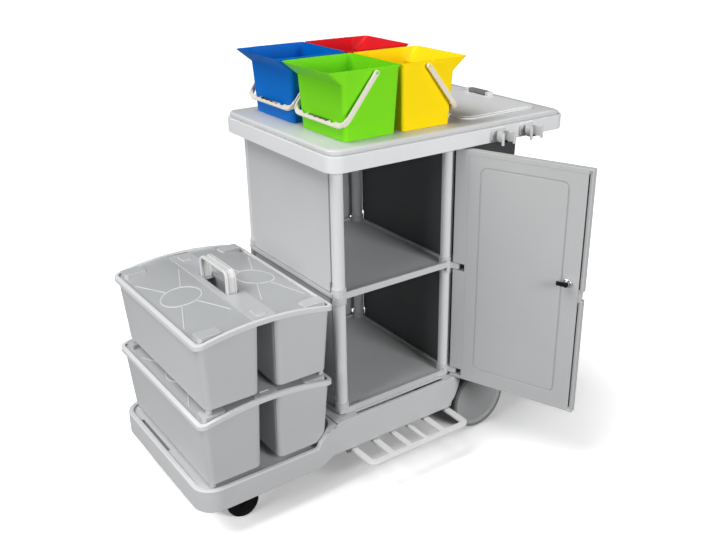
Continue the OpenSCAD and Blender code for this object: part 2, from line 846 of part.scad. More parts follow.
module door_liner() color(body_grey) {
    x0 = door_x0 + 13;
    x1 = hinge_x - stile - 6;
    groove = 5;
    difference() {
        block([x0, door_in - door_wall, door_z0 + 14], [x1, door_in, door_z1 - 14]);
        difference() {
            door_field(0, 1, 2.8);
            door_field(groove, 2, 5);
        }
        door_cuts();
    }
}

module hinge_pins() color("silver") for (s = pin_spans) bar(hinge_x, hinge_y, s[0], s[1], pin_d);

module lock_barrel() color([0.8, 0.8, 0.82]) {
    difference() {
        union() {
            cross_bar(lock_x, lock_z, door_out - 3, door_in + lock_in - 4, lock_d);
            cross_bar(lock_x, lock_z, door_out - 3, door_out, lock_d + 8);
            translate([lock_x, door_in + 8, lock_z]) rotate([90, 0, 0]) {
                cylinder(d = lock_d + 8, h = 8, $fn = 6);
            }
        }
        cross_bar(lock_x, lock_z, door_out - 4, door_in + lock_in, 8 + 2 * slip);
    }
}

module lock_cam() color([0.12, 0.12, 0.12]) {
    y = door_in + lock_in;
    difference() {
        union() {
            cross_bar(lock_x, lock_z, door_out - 2, y - 3, 8);
            cross_bar(lock_x, lock_z, y - 3.5, y, 14);
            block([lock_x, y - 3.5, lock_z - 6], [lock_x + cam_len, y, lock_z + 6]);
        }
        block([lock_x - 3, door_out - 3, lock_z - 0.8], [lock_x + 3, door_out + 4, lock_z + 0.8]);
    }
}

module near_door() swung_open() door_shell();
module near_door_liner() swung_open() door_liner();
module near_hinge_pins() swung_open() hinge_pins();
module near_lock_barrel() swung_open() lock_barrel();
module near_lock_cam() swung_open() lock_cam();
module far_door() on_far_side() door_shell();
module far_door_liner() on_far_side() door_liner();
module far_hinge_pins() on_far_side() hinge_pins();
module far_lock_barrel() on_far_side() lock_barrel();
module far_lock_cam() on_far_side() lock_cam();

// Caddies: two drafted bins under one rim that arches at the middle of its long sides

// Rise of the rim above its corners, at a distance from the middle
function arch_at(x) = sqrt(arch_radius * arch_radius - x * x) - arch_radius + rim_rise;

// Everything under the rim's arch, lowered by drop
module under_arch(drop) {
    across(caddy_w + 2) intersection() {
        translate([0, caddy_h + rim_rise - arch_radius - drop]) circle(arch_radius, $fn = 180);
        translate([-caddy_l, -1]) square([2 * caddy_l, caddy_h + rim_rise + 2]);
    }
}

// One bin's form; side -1 is the front bin. t is the wall taken off for the inside
module bin_form(side, t, z0) {
    top_z = caddy_h + rim_rise + 2;
    x0 = bin_gap;
    x1 = caddy_l / 2 - bin_inset;
    y1 = caddy_w / 2 - bin_inset;
    mirror([side < 0 ? 1 : 0, 0, 0]) hull() {
        translate([0, 0, z0]) linear_extrude(eps) {
            rounded(x0 + t, x1 - bin_draft - t, -y1 + bin_draft + t, y1 - bin_draft - t, 18 - t,
                $fn = soft_fn);
        }
        translate([0, 0, top_z]) linear_extrude(eps) {
            rounded(x0 - 5 + t, x1 - t, -y1 + t, y1 - t, 18 - t, $fn = soft_fn);
        }
    }
}

// Outline of the rim, drawn in by inset
module rim_plan(inset) {
    x = caddy_l / 2 - inset;
    y = caddy_w / 2 - inset;
    rounded(-x, x, -y, y, 24 - inset);
}

module rim_ring(outer, inner) {
    linear_extrude(caddy_h + rim_rise + 5) difference() {
        rim_plan(outer);
        rim_plan(inner);
    }
}

module caddy() color(body_grey) {
    half_w = caddy_w / 2 - bin_inset - caddy_wall;
    difference() {
        intersection() {
            union() {
                bin_form(-1, 0, bin_floor);
                bin_form(1, 0, bin_floor);
            }
            under_arch(4);
        }
        bin_form(-1, caddy_wall, bin_floor + caddy_wall);
        bin_form(1, caddy_wall, bin_floor + caddy_wall);
        difference() {
            block([-bin_gap - 6, -half_w, bin_floor], [bin_gap + 6, half_w, caddy_h + rim_rise + 3]);
            under_arch(ledge);
        }
    }
    difference() {
        intersection() {
            rim_ring(0, bin_inset + caddy_wall + 1);
            under_arch(0);
        }
        under_arch(13);
    }
    difference() {
        intersection() {
            rim_ring(bin_inset + 1, bin_inset + caddy_wall + 8);
            under_arch(ledge);
        }
        under_arch(ledge + 5);
    }
    for (s = [-1, 1]) {
        y = s * (handle_span / 2 - handle_leg - 4 + half_w + 2) / 2;
        l = (half_w + 2 - handle_span / 2 + handle_leg + 4) / 2;
        block([-bin_gap + 3, y - l, bridge_top - 5], [bin_gap - 3, y + l, bridge_top]);
    }
    for (sx = [-1, 1], sy = [-1, 1]) bar(sx * foot_x, sy * foot_y, 0, bin_floor + 1, foot_d);
}

// Lid that follows the arch, with a raised spine round the handle's slot
module lid() color([0.85, 0.87, 0.88, 0.6]) {
    hx = caddy_l / 2 - bin_inset - caddy_wall - 3;
    hy = caddy_w / 2 - bin_inset - caddy_wall - 3;
    ring_x = caddy_l / 2 - 87;
    pad_x = hx - 36;
    pad_y = hy - 25;
    top_z = caddy_h + rim_rise + 20;
    difference() {
        union() {
            difference() {
                intersection() {
                    slab(-hx, hx, -hy, hy, 14, 0, top_z);
                    under_arch(lid_drop);
                }
                under_arch(lid_under);
            }
            difference() {
                union() {
                    slab(-spine_half, spine_half, -hy + 4, hy - 4, 6,
                        caddy_h, caddy_h + rim_rise - lid_drop + 2);
                    for (s = [-1, 1]) {
                        slab(-14, 14, s * (hy - 40) - 20, s * (hy - 40) + 20, 4,
                            caddy_h, caddy_h + rim_rise - lid_drop + 5);
                    }
                    for (sx = [-1, 1], sy = [-1, 1]) {
                        slab(sx * pad_x - 31, sx * pad_x + 31, sy * pad_y - 20, sy * pad_y + 20, 8,
                            caddy_h - 20, foot_seat);
                    }
                }
                under_arch(lid_drop + 1);
            }
        }
        slab(-handle_w / 2 - 2, handle_w / 2 + 2, -handle_span / 2 - 4, handle_span / 2 + 4, 3,
            caddy_h - 20, top_z);
    }
    difference() {
        intersection() {
            for (s = [-1, 1]) translate([s * ring_x, 0, caddy_h - 20]) linear_extrude(60) {
                difference() {
                    circle(55);
                    circle(51);
                }
                for (turn = [68, 112, 248, 292]) rotate(turn) translate([53, -1.5]) square([118, 3]);
            }
            under_arch(lid_drop - 1.2);
        }
        under_arch(lid_drop + 1);
    }
}

// Carry handle: a strap bent into a loop, standing on the caddy's bridge

// Outline of the strap, thinned on both faces
module strap_plan(thin) {
    z0 = bridge_top;
    z1 = caddy_h + grip_rise;
    r = 24;
    half = handle_span / 2 - thin;
    inner = handle_span / 2 - handle_leg + thin;
    difference() {
        rounded(-half, half, z0 - r, z1 - thin, r - thin);
        rounded(-inner, inner, z0 - 2 * r, z1 - handle_t + thin, r - handle_leg + thin);
        translate([-handle_span, z0 - 3 * r]) square([2 * handle_span, 3 * r]);
    }
}

// The strap's web is thin, and a flange runs along each of its edges
module carry_handle() color([0.93, 0.93, 0.92]) {
    translate([handle_w / 2, 0, 0]) rotate([90, 0, -90]) {
        linear_extrude(handle_w) strap_plan(flange_step);
        for (x = [0, handle_w - flange_w]) translate([0, 0, x]) linear_extrude(flange_w) strap_plan(0);
    }
}

module at_lower() translate([caddy_x - lower_shift, 0, lower_z]) children();
module at_upper() translate([caddy_x, 0, upper_z]) children();

module lower_caddy() at_lower() caddy();
module lower_caddy_lid() at_lower() lid();
module lower_caddy_handle() at_lower() carry_handle();
module upper_caddy() at_upper() caddy();
module upper_caddy_lid() at_upper() lid();
module upper_caddy_handle() at_upper() carry_handle();

// Buckets: drafted pails with a pouring lip that faces -X, and a bail on two pivots

module pail_layer(t, grow, lip, r, z) {
    x = bucket_l / 2 + grow - t;
    y = bucket_w / 2 + grow - t;
    translate([0, 0, z]) linear_extrude(eps) rounded(-x - lip, x, -y, y, r - t, $fn = soft_fn);
}

module pail_form(t, z0, over) {
    hull() {
        pail_layer(t, 0, 0, 12, z0);
        pail_layer(t, bucket_rim, 0, 12, bucket_h + over - eps);
    }
    hull() {
        pail_layer(t + lip_inset, bucket_rim * lip_start / bucket_h, 0, 15, lip_start);
        pail_layer(t + lip_inset, bucket_rim, lip_reach, 15, bucket_h + over - eps);
    }
}

module pail() {
    difference() {
        pail_form(0, 0, 0);
        pail_form(bucket_wall, bucket_wall, 1);
    }
    rim_y = bucket_w / 2 + bucket_rim;
    difference() {
        slab(-bucket_l / 2 - bucket_rim + 8, bucket_l / 2 + bucket_rim + 1, -rim_y - 2, rim_y + 2, 8,
            bucket_h - 5, bucket_h);
        pail_form(bucket_wall / 2, 1, 2);
    }
    for (s = [-1, 1]) {
        y0 = s < 0 ? -arm_y - bail_t - 1.5 : rim_y - 1.8;
        y1 = s < 0 ? -rim_y + 1.8 : arm_y + bail_t + 1.5;
        cross_bar(pivot_x, pivot_z, y0, y1, pivot_d);
    }
}

// Bail drawn flat, with Y across the bucket and its pivots at the origin's height
module bail_plan() {
    w = arm_y + bail_t;
    difference() {
        rounded(-w, w, -bail_r - grip_h / 2, 50, 32);
        rounded(-arm_y, arm_y, -bail_r + grip_h / 2, 60, 24);
        translate([-2 * w, 0]) square([4 * w, 100]);
        for (i = [-2.5 : 2.5]) translate([i * 26, -bail_r + grip_h / 2 + 12.5]) circle(18);
    }
}

// Bail, hanging at its resting angle on the lip's side
module bail() {
    translate([pivot_x, 0, pivot_z]) rotate([0, bail_angle, 0]) difference() {
        union() {
            translate([-4, 0, 0]) rotate([90, 0, 90]) linear_extrude(8) bail_plan();
            translate([-6.5, 0, 0]) rotate([90, 0, 90]) linear_extrude(13) difference() {
                bail_plan();
                translate([-arm_y + 4, -2 * bail_r]) square([2 * arm_y - 8, 3 * bail_r]);
            }
            for (y = [-arm_y - bail_t, arm_y]) cross_bar(0, 0, y, y + bail_t, pivot_d + 8);
        }
        for (y = [-arm_y - bail_t, arm_y]) cross_bar(0, 0, y - 1, y + bail_t + 1, pivot_d + 2 * slip);
    }
}

// Seat of a bucket: column -1 is the front pair, with its lips to the front; row -1 is the near side
module on_seat(column, row) {
    translate([bucket_x + column * bucket_pitch_x / 2, row * bucket_pitch_y / 2, deck_top + rest_gap]) {
        rotate(column < 0 ? 0 : 180) children();
    }
}

module blue_bucket() color([0, 0.37, 0.7]) on_seat(-1, far) pail();
module green_bucket() color([0.5, 0.83, 0.16]) on_seat(-1, near) pail();
module red_bucket() color([0.87, 0.14, 0.14]) on_seat(1, far) pail();
module yellow_bucket() color([1, 0.87, 0.14]) on_seat(1, near) pail();
module blue_bail() color([0.9, 0.88, 0.83]) on_seat(-1, far) bail();
module green_bail() color([0.9, 0.88, 0.83]) on_seat(-1, near) bail();
module red_bail() color([0.9, 0.88, 0.83]) on_seat(1, far) bail();
module yellow_bail() color([0.9, 0.88, 0.83]) on_seat(1, near) bail();

placed() chassis();
placed() lower_shelf();
placed() mid_shelf();
placed() lower_posts();
placed() upper_posts();
placed() lower_left_panel();
placed() upper_left_panel();
placed() lower_partition();
placed() upper_partition();
placed() top_frame();
placed() top_deck();
placed() handle_clips();
placed() clip_screws();
placed() bag_ring();
placed() waste_bag();
placed() bag_lid();
placed() lid_grip();
placed() lid_hinge_pins();
placed() tool_rack();
placed() rack_runners();
placed() rear_axle();
placed() near_rear_wheel();
placed() near_rear_tyre();
placed() far_rear_wheel();
placed() far_rear_tyre();
placed() castor_plates();
placed() near_castor_fork();
placed() near_castor_bolt();
placed() near_castor_wheel();
placed() far_castor_fork();
placed() far_castor_bolt();
placed() far_castor_wheel();
placed() near_door();
placed() near_door_liner();
placed() near_hinge_pins();
placed() near_lock_barrel();
placed() near_lock_cam();
placed() far_door();
placed() far_door_liner();
placed() far_hinge_pins();
placed() far_lock_barrel();
placed() far_lock_cam();
placed() lower_caddy();
placed() lower_caddy_lid();
placed() lower_caddy_handle();
placed() upper_caddy();
placed() upper_caddy_lid();
placed() upper_caddy_handle();
placed() blue_bucket();
placed() green_bucket();
placed() red_bucket();
placed() yellow_bucket();
placed() blue_bail();
placed() green_bail();
placed() red_bail();
placed() yellow_bail();
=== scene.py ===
# %% [markdown]
# # A cleaning cart, dressed for its portrait
# The cart comes in as plain solids: sharp edges, no finish. This lesson softens the mouldings, sews the
# waste bag, mixes a finish for every plastic, rubber and metal, and lights it all as in a small photo
# studio.

# %% Load the frame
import json
import math

import bmesh
import bpy
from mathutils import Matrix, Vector
from mathutils.bvhtree import BVHTree


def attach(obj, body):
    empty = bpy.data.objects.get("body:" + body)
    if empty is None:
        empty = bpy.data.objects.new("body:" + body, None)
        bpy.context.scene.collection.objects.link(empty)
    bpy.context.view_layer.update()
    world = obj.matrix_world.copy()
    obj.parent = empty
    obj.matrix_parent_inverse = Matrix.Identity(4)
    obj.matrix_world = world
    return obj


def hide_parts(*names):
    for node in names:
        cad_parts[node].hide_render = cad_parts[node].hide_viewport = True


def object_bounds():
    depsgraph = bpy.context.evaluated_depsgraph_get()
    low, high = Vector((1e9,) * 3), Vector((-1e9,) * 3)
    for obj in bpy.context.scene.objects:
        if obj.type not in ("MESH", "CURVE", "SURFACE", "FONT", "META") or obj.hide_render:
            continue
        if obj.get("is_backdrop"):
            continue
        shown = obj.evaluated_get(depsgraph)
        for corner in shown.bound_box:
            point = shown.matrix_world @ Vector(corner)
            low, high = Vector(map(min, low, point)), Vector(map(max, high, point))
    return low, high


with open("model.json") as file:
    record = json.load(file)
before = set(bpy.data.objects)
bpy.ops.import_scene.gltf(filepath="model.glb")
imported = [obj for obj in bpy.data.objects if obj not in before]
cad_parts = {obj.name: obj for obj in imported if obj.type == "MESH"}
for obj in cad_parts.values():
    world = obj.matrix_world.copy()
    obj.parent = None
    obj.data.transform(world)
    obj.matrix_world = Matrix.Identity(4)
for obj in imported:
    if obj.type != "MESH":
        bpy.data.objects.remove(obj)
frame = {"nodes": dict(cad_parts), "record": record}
cad_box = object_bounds()
print("pieces in the frame:", len(frame["nodes"]))

# %% [markdown]
# The cart has its own layout: x runs back from the front posts, y out from the middle plane and z up from
# the floor. The frame puts its origin elsewhere, so two small helpers go between them.

# %% Between the cart's layout and the frame
ORIGIN = Vector((0.1575, -0.167318, 0.0))


def placed(x, y, z):
    return Vector((x, y, z)) - ORIGIN


def on_cart(point):
    return point + ORIGIN


BODY_OF = {node: body for body, nodes in frame["record"]["behaviour"]["bodies"].items() for node in nodes}
print("bodies that move:", len(set(BODY_OF.values())) - 1)

# %% [markdown]
# ## Camera
# The picture was taken from the front near corner, from a little above the top. The lens and the place
# come from matching straight edges of the cart with their lines in the picture.

# %% Camera
CAMERA_PLACE = (-1.2794, -1.7929, 1.5410)
LOOKS_DOWN, ROLL, HEADING = 22.8, -0.2, 52.8

camera_data = bpy.data.cameras.new("portrait_camera")
camera_data.lens = 42.97
camera_data.sensor_width = 36.0
camera_data.shift_x = -0.057
camera_data.shift_y = -0.010
camera_data.clip_end = 50.0
camera = bpy.data.objects.new("portrait_camera", camera_data)
camera.location = CAMERA_PLACE
camera.rotation_euler = [math.radians(a) for a in (90 - LOOKS_DOWN, ROLL, HEADING - 90)]
bpy.context.scene.collection.objects.link(camera)
bpy.context.scene.camera = camera
print("camera height above the floor:", round(camera.location.z, 3))

# %% [markdown]
# ## Studio
# A white floor, a very soft sun from above the front corner, and two soft boxes that put long highlights
# on the round posts. A large sun angle does the work of many lamps, so three lights are enough.

# %% Floor and lamps
FLOOR_SIZE, FLOOR_DROP = 40.0, 0.0005
BOX_SIZE = 1.4


def only(piece):
    bpy.ops.object.select_all(action="DESELECT")
    piece.select_set(True)
    bpy.context.view_layer.objects.active = piece


def soft_box(name, place, target, watts):
    light = bpy.data.lights.new(name, "AREA")
    light.shape = "SQUARE"
    light.size = BOX_SIZE
    light.energy = watts
    lamp = bpy.data.objects.new(name, light)
    lamp.location = place
    lamp.rotation_euler = (Vector(target) - Vector(place)).to_track_quat("-Z", "Y").to_euler()
    bpy.context.scene.collection.objects.link(lamp)


bpy.ops.object.select_all(action="DESELECT")
bpy.ops.mesh.primitive_plane_add(size=FLOOR_SIZE, location=(0, 0, -FLOOR_DROP))
floor = bpy.context.active_object
floor.name = "studio_floor"
floor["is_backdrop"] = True

soft_box("box_front", (-3.4, -0.5, 1.5), (0.0, 0.0, 0.5), 54.0)
soft_box("box_side", (0.5, -3.8, 1.9), (0.1, 0.0, 0.6), 116.0)
sun_light = bpy.data.lights.new("soft_sun", "SUN")
sun_light.energy = 2.7
sun_light.angle = math.radians(45)
sun = bpy.data.objects.new("soft_sun", sun_light)
sun.rotation_euler = Vector((0.42, -0.20, -0.88)).to_track_quat("-Z", "Y").to_euler()
bpy.context.scene.collection.objects.link(sun)
bpy.context.scene.view_settings.view_transform = "Standard"

# %% [markdown]
# The surround lights the cart only dimly and fades toward the back, so that gaps go dark. The camera
# itself sees it white, so that no dark edge shows beyond the floor.

# %% Surround
LIT_FROM = (-0.50, -0.70, 0.51)
DIMMEST, BRIGHTEST, FADE_START = 0.05, 0.32, -0.6
SEEN_WHITE = 20.0

world = bpy.data.worlds.new("studio_world")
bpy.context.scene.world = world
world.use_nodes = True
air, wires = world.node_tree.nodes, world.node_tree.links
facing = air.new("ShaderNodeVectorMath")
facing.operation = "DOT_PRODUCT"
facing.inputs[1].default_value = LIT_FROM
wires.new(air.new("ShaderNodeTexCoord").outputs["Generated"], facing.inputs[0])
fade = air.new("ShaderNodeMapRange")
fade.inputs["From Min"].default_value = FADE_START
fade.inputs["To Min"].default_value = DIMMEST
fade.inputs["To Max"].default_value = BRIGHTEST
wires.new(facing.outputs["Value"], fade.inputs["Value"])
behind = air.new("ShaderNodeMath")
behind.operation = "MULTIPLY_ADD"
behind.inputs[1].default_value = SEEN_WHITE
wires.new(air.new("ShaderNodeLightPath").outputs["Is Camera Ray"], behind.inputs[0])
wires.new(fade.outputs["Result"], behind.inputs[2])
wires.new(behind.outputs["Value"], air["Background"].inputs["Strength"])
print("surround:", world.name)

# %% [markdown]
# ## Shared finish effects
# Moulded plastic is never one flat colour: the melt flows unevenly, the mould has a fine spark-eroded
# skin, and the gloss changes with it. Painting this on each piece would take a picture per piece. Two
# node groups hold the effects instead, and every material places them with its own values.

# %% Node helpers
def shader_group(name, inputs, outputs):
    tree = bpy.data.node_groups.new(name, "ShaderNodeTree")
    for label, kind, value in inputs:
        socket = tree.interface.new_socket(label, in_out="INPUT", socket_type=kind)
        if value is not None:
            socket.default_value = value
    for label, kind in outputs:
        tree.interface.new_socket(label, in_out="OUTPUT", socket_type=kind)
    return tree, tree.nodes.new("NodeGroupInput"), tree.nodes.new("NodeGroupOutput")


def math_node(tree, operation, first, second):
    made = tree.nodes.new("ShaderNodeMath")
    made.operation = operation
    for socket, value in zip(made.inputs, (first, second)):
        if isinstance(value, (int, float)):
            socket.default_value = value
        else:
            tree.links.new(value, socket)
    return made.outputs[0]


def noise_node(tree, vector, scale, detail=3.0, roughness=0.5):
    made = tree.nodes.new("ShaderNodeTexNoise")
    tree.links.new(vector, made.inputs["Vector"])
    if isinstance(scale, (int, float)):
        made.inputs["Scale"].default_value = scale
    else:
        tree.links.new(scale, made.inputs["Scale"])
    made.inputs["Detail"].default_value = detail
    made.inputs["Roughness"].default_value = roughness
    return made.outputs["Fac"]


def object_place(tree):
    return tree.nodes.new("ShaderNodeTexCoord").outputs["Object"]


print("node helpers ready")

# %% [markdown]
# The first group varies a colour: soft clouds where the melt cooled, and fine specks of pigment.

# %% Moulding flow
SPECK_SCALE = 620.0


def moulding_flow_group():
    tree, given, result = shader_group(
        "moulding_flow",
        [("Vector", "NodeSocketVector", None), ("Colour", "NodeSocketColor", (0.5, 0.5, 0.5, 1)),
         ("Amount", "NodeSocketFloat", 0.1), ("Scale", "NodeSocketFloat", 6.0)],
        [("Colour", "NodeSocketColor")])
    cloud = noise_node(tree, given.outputs["Vector"], given.outputs["Scale"], 4.0)
    speck = noise_node(tree, given.outputs["Vector"], SPECK_SCALE, 2.0)
    both = math_node(tree, "ADD", cloud, math_node(tree, "MULTIPLY", speck, 0.5))
    spread = math_node(tree, "SUBTRACT", both, 0.75)
    gain = math_node(tree, "ADD", math_node(tree, "MULTIPLY", spread, given.outputs["Amount"]), 1.0)
    tint = tree.nodes.new("ShaderNodeVectorMath")
    tint.operation = "SCALE"
    tree.links.new(given.outputs["Colour"], tint.inputs[0])
    tree.links.new(gain, tint.inputs["Scale"])
    tree.links.new(tint.outputs[0], result.inputs["Colour"])
    return tree


FLOW = moulding_flow_group()
print("node group:", FLOW.name)

# %% [markdown]
# The second group gives the skin: its fine grain with wide sink marks as a height, and patches of wear as
# gloss.

# %% Mould skin
SINK_SCALE, WEAR_SCALE = 9.0, 24.0


def mould_skin_group():
    tree, given, result = shader_group(
        "mould_skin",
        [("Vector", "NodeSocketVector", None), ("Grain", "NodeSocketFloat", 900.0),
         ("Roughness", "NodeSocketFloat", 0.45), ("Spread", "NodeSocketFloat", 0.1)],
        [("Height", "NodeSocketFloat"), ("Roughness", "NodeSocketFloat")])
    fine = noise_node(tree, given.outputs["Vector"], given.outputs["Grain"], 2.0)
    sink = noise_node(tree, given.outputs["Vector"], SINK_SCALE, 1.0)
    height = math_node(tree, "ADD", math_node(tree, "MULTIPLY", fine, 0.25),
                       math_node(tree, "MULTIPLY", sink, 0.75))
    worn = noise_node(tree, given.outputs["Vector"], WEAR_SCALE, 5.0, 0.6)
    shift = math_node(tree, "MULTIPLY", math_node(tree, "SUBTRACT", worn, 0.5), given.outputs["Spread"])
    tree.links.new(height, result.inputs["Height"])
    tree.links.new(math_node(tree, "ADD", given.outputs["Roughness"], shift), result.inputs["Roughness"])
    return tree


SKIN = mould_skin_group()
print("node group:", SKIN.name)

# %% [markdown]
# ## Finishes
# One recipe makes the plastics, and each one gets its own colour, gloss, grain and depth. The greys lean
# a little cool, the bails a little warm, and the pails are glossier than the body because their moulds
# are polished.

# %% Recipe for a moulded plastic
BUMP_STRENGTH = 0.35


def srgb(red, green, blue):
    def linear(c):
        c = c / 255.0
        return c / 12.92 if c <= 0.04045 else ((c + 0.055) / 1.055) ** 2.4
    return (linear(red), linear(green), linear(blue), 1.0)


def place_group(tree, group, vector, **values):
    made = tree.nodes.new("ShaderNodeGroup")
    made.node_tree = group
    tree.links.new(vector, made.inputs["Vector"])
    for label, value in values.items():
        made.inputs[label].default_value = value
    return made


def moulded(name, colour, gloss=0.45, grain=900.0, depth=0.0002, flow=0.08, shine=0.4):
    material = bpy.data.materials.new(name)
    material.use_nodes = True
    tree = material.node_tree
    shader = tree.nodes["Principled BSDF"]
    place = object_place(tree)
    tone = place_group(tree, FLOW, place, Colour=colour, Amount=flow)
    skin = place_group(tree, SKIN, place, Grain=grain, Roughness=gloss)
    bump = tree.nodes.new("ShaderNodeBump")
    bump.inputs["Strength"].default_value = BUMP_STRENGTH
    bump.inputs["Distance"].default_value = depth
    tree.links.new(tone.outputs["Colour"], shader.inputs["Base Color"])
    tree.links.new(skin.outputs["Roughness"], shader.inputs["Roughness"])
    tree.links.new(skin.outputs["Height"], bump.inputs["Height"])
    tree.links.new(bump.outputs["Normal"], shader.inputs["Normal"])
    shader.inputs["Specular IOR Level"].default_value = shine
    material.diffuse_color = colour
    return material


print("plastic recipe ready")

# %% [markdown]
# Each material slot of the cart gets one finish. A few nodes get a finish under their own name: the grip is
# a lighter grey than its slot, and the near door and the top deck are darker greys, a painted shade that
# tones down the lamps' light on their faces.

# %% Plastics
RUBBER = {"grain": 450.0, "depth": 0.0004}
POLISHED = {"gloss": 0.38, "shine": 0.14}
FINISH = {
    "body_plastic": moulded("body_grey", srgb(196, 197, 198), 0.50),
    "caddy_plastic": moulded("caddy_grey", srgb(192, 193, 194), 0.52),
    "top_plastic": moulded("top_grey", srgb(224, 225, 226), 0.42),
    "post_plastic": moulded("post_grey", srgb(214, 215, 216), 0.36, depth=0.00012),
    "dark_panel": moulded("partition_black", srgb(84, 85, 87), 0.55, grain=700.0, flow=0.14),
    "dark_plastic": moulded("ring_black", srgb(60, 61, 63), 0.50, flow=0.14),
    "clip_plastic": moulded("clip_grey", srgb(205, 206, 207), 0.38),
    "rack_plastic": moulded("rack_white", srgb(222, 222, 221), 0.42),
    "runner_plastic": moulded("runner_grey", srgb(140, 141, 142), 0.5),
    "wheel_plastic": moulded("wheel_grey", srgb(172, 173, 174), 0.32),
    "tyre_rubber": moulded("tyre_grey", srgb(126, 127, 128), 0.72, flow=0.16, **RUBBER),
    "castor_frame": moulded("castor_black", srgb(12, 12, 13), 0.5, flow=0.16, shine=0.2),
    "castor_rubber": moulded("castor_tread", srgb(10, 10, 11), 0.66, flow=0.2, shine=0.2, **RUBBER),
    "handle_plastic": moulded("handle_white", srgb(214, 214, 213), 0.34),
    "blue_plastic": moulded("pail_blue", srgb(0, 112, 206), **POLISHED),
    "green_plastic": moulded("pail_green", srgb(124, 222, 30), **POLISHED),
    "red_plastic": moulded("pail_red", srgb(226, 26, 36), **POLISHED),
    "yellow_plastic": moulded("pail_yellow", srgb(255, 222, 10), **POLISHED),
    "bail_plastic": moulded("bail_ivory", srgb(228, 222, 208), 0.40),
    "lid_grip": moulded("grip_grey", srgb(128, 129, 130), 0.48, flow=0.14),
    # Painted shade: the near door is a darker copy of the body grey, against the lamps' light on its face.
    "near_door": moulded("door_grey_painted_shade", srgb(184, 185, 186), 0.50),
    # Painted shade: the top deck is a darker copy of the top grey, against the front lamp's light on it.
    "top_deck": moulded("deck_grey_painted_shade", srgb(206, 207, 208), 0.44),
}
# The door's liner shares the door's painted shade.
FINISH["near_door_liner"] = FINISH["near_door"]
print("plastics:", len(FINISH))

# %% [markdown]
# The caddies' lids are frosted: light goes in, scatters and comes out milky. Part of the shader transmits,
# with a rough surface, and the rest stays a pale solid. Ridges, rings and edges are painted paler: partly
# the milkier look of thicker moulding, partly a painted highlight where light catches them; an attribute
# on the lids, laid on further down, says where. The caddies' rims get a painted highlight in the same way,
# where their rounded lips catch the light.

# %% Frosted lids and pale rims
LID_TRANSMISSION = 0.30


def paint_highlight(material, colour):
    """Mix a finish toward a paler colour where the attribute says so: the painted highlight."""
    tree = material.node_tree
    shader = tree.nodes["Principled BSDF"]
    painted_highlight = tree.nodes.new("ShaderNodeAttribute")
    painted_highlight.attribute_name = "painted_highlight"
    pale = place_group(tree, FLOW, object_place(tree), Colour=colour, Amount=0.06)
    layered = tree.nodes.new("ShaderNodeMix")
    layered.data_type = "RGBA"
    plain = shader.inputs["Base Color"].links[0].from_socket
    tree.links.new(painted_highlight.outputs["Fac"], layered.inputs["Factor"])
    tree.links.new(plain, layered.inputs["A"])
    tree.links.new(pale.outputs["Colour"], layered.inputs["B"])
    tree.links.new(layered.outputs["Result"], shader.inputs["Base Color"])
    return shader


# Painted highlight: srgb(240, 241, 242) is the paler colour on the lid's ridges, rings and edges.
frost = moulded("lid_frost", srgb(196, 198, 200), 0.34, grain=600.0, depth=0.0003, flow=0.10)
paint_highlight(frost, srgb(240, 241, 242)).inputs["Transmission Weight"].default_value = LID_TRANSMISSION
FINISH["lid_plastic"] = frost
# Painted highlight: srgb(226, 227, 228) lightens the caddies' rims where their rounded lips catch the
# light.
paint_highlight(FINISH["caddy_plastic"], srgb(226, 227, 228))
print("finishes with relief:", frost.name, FINISH["caddy_plastic"].name)

# %% [markdown]
# Axle, pins, screws and locks are metal. The plastic recipe gives the skin, the shader turns metallic,
# and noise that is stretched along z draws the fine lines that turning and drawing leave.

# %% Metals
LINE_STRETCH = (1.0, 1.0, 0.02)


def metal(name, colour, gloss, scratches):
    material = moulded(name, colour, gloss, grain=1400.0, depth=0.0001, flow=0.2)
    tree = material.node_tree
    shader = tree.nodes["Principled BSDF"]
    shader.inputs["Metallic"].default_value = 1.0
    turn = tree.nodes.new("ShaderNodeMapping")
    turn.inputs["Scale"].default_value = LINE_STRETCH
    tree.links.new(object_place(tree), turn.inputs["Vector"])
    lines = noise_node(tree, turn.outputs["Vector"], scratches, 2.0)
    varied = math_node(tree, "ADD", math_node(tree, "MULTIPLY", lines, 0.2), gloss - 0.1)
    tree.links.new(varied, shader.inputs["Roughness"])
    return material


FINISH["steel"] = metal("bright_steel", srgb(186, 187, 190), 0.32, 1500.0)
FINISH["lock_chrome"] = metal("lock_chrome", srgb(214, 215, 218), 0.16, 900.0)
FINISH["lock_cam"] = metal("blackened_cam", srgb(48, 48, 50), 0.42, 1200.0)
print("finishes so far:", len(FINISH))

# %% [markdown]
# The bag is coated cloth. Two crossed waves on its own UV map make the weave, so that the threads follow
# the cloth, and a little sheen lifts its edges.

# %% Coated cloth
WEAVE_STRENGTH, WEAVE_DEPTH = 0.4, 0.0004


def coated_cloth(name, colour, threads):
    material = moulded(name, colour, 0.62, grain=800.0, depth=WEAVE_DEPTH, flow=0.2)
    tree = material.node_tree
    shader = tree.nodes["Principled BSDF"]
    place = tree.nodes.new("ShaderNodeUVMap").outputs["UV"]
    weave = []
    for direction in ("X", "Y"):
        wave = tree.nodes.new("ShaderNodeTexWave")
        wave.bands_direction = direction
        wave.inputs["Scale"].default_value = threads
        tree.links.new(place, wave.inputs["Vector"])
        weave.append(wave.outputs["Fac"])
    bump = shader.inputs["Normal"].links[0].from_node
    bump.inputs["Strength"].default_value = WEAVE_STRENGTH
    tree.links.new(math_node(tree, "MULTIPLY", weave[0], weave[1]), bump.inputs["Height"])
    shader.inputs["Sheen Weight"].default_value = 0.15
    return material


FINISH["bag_fabric"] = coated_cloth("coated_cloth", srgb(58, 60, 63), 260.0)
print("cloth:", FINISH["bag_fabric"].name)

# %% [markdown]
# The studio floor is white to the camera. To all other rays it is a dull grey, because a floor that is
# really white would light the cart's underside and its gaps from below.

